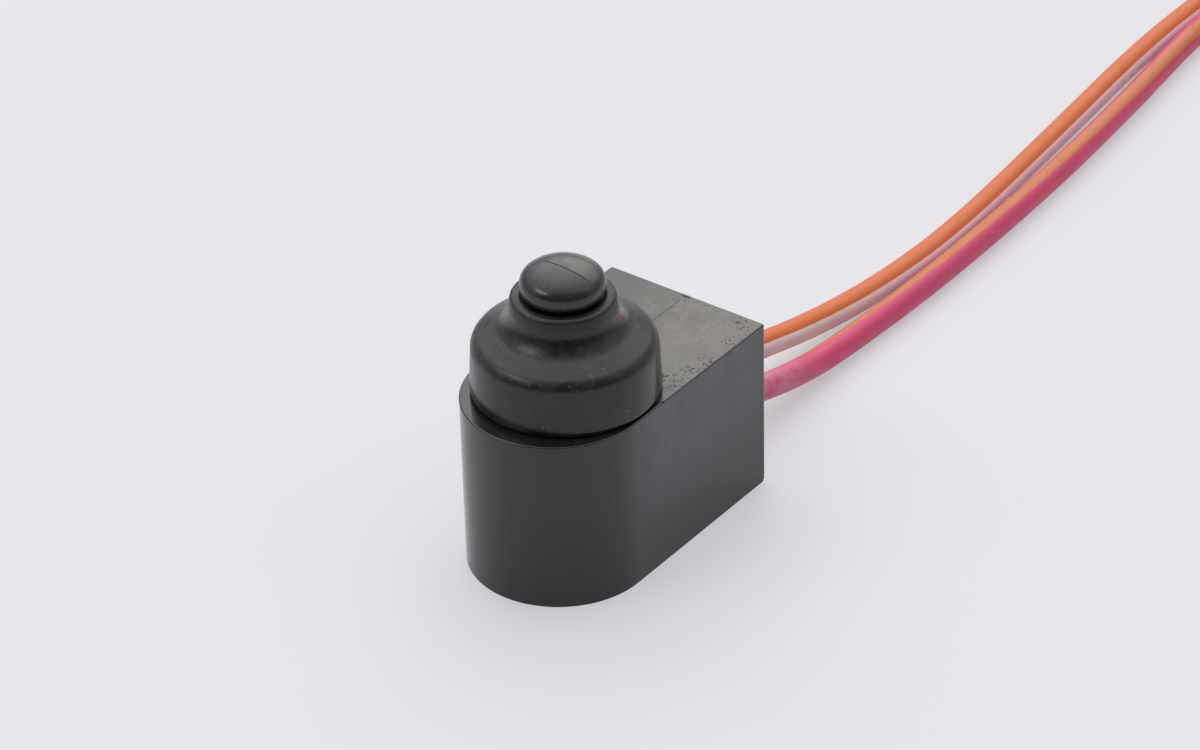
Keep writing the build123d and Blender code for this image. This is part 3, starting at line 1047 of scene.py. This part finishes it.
def plain_plastic(name, colour, shade, roughness, scale, depth, ior=1.5):
    """Moulded or cast plastic with cloudy colour and a fine grain."""
    finish, tree, shader, where = new_finish(name, ior=ior)
    clouds = use(tree, BLOTCHES, Position=where, Scale=scale / 8, Start=0.35, End=0.7, Detail=5.0)
    specks = use(
        tree, FLECKS, Position=where, Scale=scale / 2, Share=0.10, Size=0.12, Unevenness=0.6
    )
    body = cover(
        tree, colour, (clouds, shade), (times(tree, specks, 0.4), rgb(0.35, 0.34, 0.32))
    )
    rough = total(tree, roughness, times(tree, clouds, 0.12))
    grain = use(tree, GRAIN, Position=where, Scale=scale, Pebbles=0.4)
    colour_it(tree, shader, body, rough, grain, depth)
    return finish


def drawn_metal(name, colour, dull, roughness, stretch, scale=1800.0):
    """Rolled, drawn or cast metal: fine lines along one axis and a duller bloom."""
    finish, tree, shader, where = new_finish(name, metallic=1.0)
    clouds = use(tree, BLOTCHES, Position=where, Scale=600.0, Start=0.35, End=0.7, Detail=5.0)
    lines = use(tree, SCRATCHES, Position=where, Stretch=stretch, Scale=scale, Share=0.06)
    body = tint(tree, clouds, colour, dull)
    rough = total(tree, roughness, times(tree, clouds, 0.14), times(tree, lines, 0.08))
    colour_it(tree, shader, body, rough, less(tree, 0.0, lines), 1.5 * MICRON)
    return finish


def dress(item, finish):
    """Gives a piece or a carried-over node its finish."""
    slots = item.data.materials
    slots.clear()
    slots.append(finish)


orange_insulation = lead_finish(
    "orange_insulation",
    colour=rgb(0.66, 0.130, 0.016),
    faded=rgb(0.67, 0.16, 0.035),
    stripe=rgb(0.90, 0.84, 0.86),
    middle=0.435,
    half_width=0.088,
    twist=0.0,
    chalk=0.10,
)
pink_insulation = lead_finish(
    "pink_insulation",
    colour=rgb(0.66, 0.048, 0.148),
    faded=rgb(0.56, 0.08, 0.17),
    stripe=rgb(0.60, 0.165, 0.055),
    middle=-0.055,
    half_width=0.078,
    twist=2.2,
    chalk=0.55,
)
steel = drawn_metal(
    "bright_spring_steel", rgb(0.55, 0.55, 0.56), rgb(0.40, 0.40, 0.41), 0.22, (1, 1, 0.1)
)
copper = drawn_metal(
    "tinned_copper_strands", rgb(0.78, 0.62, 0.50), rgb(0.60, 0.50, 0.44), 0.24, (0.1, 1, 1)
)
brass = drawn_metal(
    "rolled_brass_strip", rgb(0.76, 0.56, 0.26), rgb(0.56, 0.40, 0.18), 0.26, (0.06, 1, 1)
)
silver = drawn_metal(
    "silver_rivets", rgb(0.86, 0.85, 0.83), rgb(0.66, 0.65, 0.62), 0.20, (1, 0.3, 1)
)
solder = drawn_metal(
    "bright_solder", rgb(0.70, 0.71, 0.72), rgb(0.52, 0.53, 0.54), 0.20, (1, 1, 1), scale=700.0
)
base_plastic = plain_plastic(
    "natural_base_moulding",
    colour=rgb(0.60, 0.57, 0.49),
    shade=rgb(0.52, 0.49, 0.41),
    roughness=0.38,
    scale=3200.0,
    depth=2.0 * MICRON,
)
resin = plain_plastic(
    "black_casting_resin",
    colour=rgb(0.012, 0.012, 0.012),
    shade=rgb(0.022, 0.021, 0.020),
    roughness=0.22,
    scale=1500.0,
    depth=6.0 * MICRON,
    ior=1.55,
)
tie_nylon = plain_plastic(
    "black_tie_nylon",
    colour=rgb(0.012, 0.012, 0.013),
    shade=rgb(0.026, 0.026, 0.027),
    roughness=0.36,
    scale=3200.0,
    depth=2.0 * MICRON,
    ior=1.53,
)

made_finishes = (
    (orange_lead, orange_insulation),
    (pink_lead, pink_insulation),
    (orange_strands, copper),
    (pink_strands, copper),
    (cable_tie, tie_nylon),
    (rubber_boot, boot_finish()),
    (button_plunger, button_finish()),
    (return_spring, steel),
)
for made_piece, finish in made_finishes:
    dress(made_piece, finish)
node_finishes = {
    "case": case_finish(),
    "contact_base": base_plastic,
    "potting": resin,
    "retaining_ring": steel,
    "spring_clip": steel,
    "contact_spring": steel,
    "contact_bridge": brass,
    "terminal_far": brass,
    "terminal_near": brass,
    "fixed_contact_far": silver,
    "fixed_contact_near": silver,
    "bridge_contact_far": silver,
    "bridge_contact_near": silver,
    "solder_far": solder,
    "solder_near": solder,
    "conductor_far": copper,
    "conductor_near": copper,
}
for node, finish in node_finishes.items():
    dress(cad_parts[node], finish)


# ---- Bench and light ----
BENCH_HALF_WIDTH = 1.5
BENCH_SQUARES = 8
PAPER_LIFT = 0.55

# How bright the tent is by height (0 level, 1 overhead) and by how far it faces the camera.
WORLD_LEVEL = 1.41
TENT_BY_HEIGHT = (
    (0.0, 0.25),
    (0.12, 0.37),
    (0.37, 0.53),
    (0.60, 0.67),
    (0.79, 0.82),
    (0.92, 0.95),
    (1.0, 1.0),
)
TENT_BY_FACING = ((0.18, 1.0), (0.30, 0.62), (0.42, 0.42), (0.60, 0.32), (1.0, 0.24))
TOWARDS_CAMERA = (-0.790, -0.613, 0.0)

# A brighter round of sky above and behind the switch, and how it fades in.
OVERHEAD_LEVEL = 1.66
OVERHEAD_BEHIND = (0.508, 0.394, 0.766)
OVERHEAD_FADE = (0.66, 0.975)

LEFT_LEVEL = 3.3
LEFT_PLACE = (-0.475, 0.325, 0.53)
LEFT_WIDTH = 0.42
LEFT_HEIGHT = 0.18


def paper_finish():
    """Pale bench paper, which the camera and reflections see as softly lit from below."""
    finish = bpy.data.materials.new("bench_paper")
    finish.use_nodes = True
    tree = finish.node_tree
    shader = tree.nodes["Principled BSDF"]
    where = place(tree, "ShaderNodeTexCoord").outputs["Object"]
    clouds = noise(tree, where, 40.0, detail=1.0, roughness=0.55)
    colour = tint(tree, clouds, rgb(0.765, 0.758, 0.795), rgb(0.785, 0.778, 0.815))
    tree.links.new(colour, shader.inputs["Base Color"])
    shader.inputs["Roughness"].default_value = 0.7
    shader.inputs["Specular IOR Level"].default_value = 0.2
    glow = place(tree, "ShaderNodeEmission", {"Color": rgb(0.765, 0.760, 0.795), "Strength": 1.0})
    path = place(tree, "ShaderNodeLightPath").outputs
    seen = widest(tree, path["Is Camera Ray"], path["Is Glossy Ray"], path["Is Transmission Ray"])
    lift = times(tree, seen, PAPER_LIFT)
    sockets = {0: lift, 1: shader.outputs["BSDF"], 2: glow.outputs["Emission"]}
    both = place(tree, "ShaderNodeMixShader", sockets)
    tree.links.new(both.outputs[0], tree.nodes["Material Output"].inputs["Surface"])
    return finish


def make_bench():
    """A flat bench top under the switch."""
    shape = bmesh.new()
    bmesh.ops.create_grid(
        shape, x_segments=BENCH_SQUARES, y_segments=BENCH_SQUARES, size=BENCH_HALF_WIDTH
    )
    piece("bench_top", shape, None, paper_finish())


def softbox(name, spot, width, height, radiance):
    """A rectangular lamp that faces the origin, as bright as its radiance at any size."""
    lamp = bpy.data.lights.new(name, "AREA")
    lamp.shape = "RECTANGLE"
    lamp.size = width
    lamp.size_y = height
    lamp.energy = radiance * math.pi * width * height
    box = bpy.data.objects.new(name, lamp)
    box.location = spot
    box.rotation_mode = "QUATERNION"
    box.rotation_quaternion = Vector(spot).to_track_quat("Z", "Y")
    scene.collection.objects.link(box)


def grey_ramp(tree, value, stops):
    """A grey between (value, grey) stops."""
    made = place(tree, "ShaderNodeValToRGB", {"Fac": value})
    elements = made.color_ramp.elements
    while len(elements) < len(stops):
        elements.new(0.5)
    for element, (position, grey) in zip(elements, stops):
        element.position = position
        element.color = (grey, grey, grey, 1)
    return made.outputs["Color"]


def light_bench():
    """A tent of soft light: brightest overhead, dimmer low down and round the camera."""
    world = bpy.data.worlds.new("studio")
    scene.world = world
    world.use_nodes = True
    tree = world.node_tree
    tree.nodes.clear()
    heading = place(tree, "ShaderNodeTexCoord").outputs["Generated"]
    facing = vector(tree, "DOT_PRODUCT", heading, TOWARDS_CAMERA, "Value")
    overhead = vector(tree, "DOT_PRODUCT", heading, OVERHEAD_BEHIND, "Value")
    tent = grey_ramp(tree, split(tree, heading)["Z"], TENT_BY_HEIGHT)
    opening = grey_ramp(tree, facing, TENT_BY_FACING)
    level = total(
        tree,
        times(tree, WORLD_LEVEL, tent, opening),
        ramp(tree, overhead, *OVERHEAD_FADE, 0.0, OVERHEAD_LEVEL),
    )
    glow = place(tree, "ShaderNodeBackground", {"Strength": level})
    out = place(tree, "ShaderNodeOutputWorld")
    tree.links.new(glow.outputs["Background"], out.inputs["Surface"])
    softbox("softbox_left", LEFT_PLACE, LEFT_WIDTH, LEFT_HEIGHT, LEFT_LEVEL)


make_bench()
light_bench()
scene.view_settings.view_transform = "Standard"

bpy.context.view_layer.update()
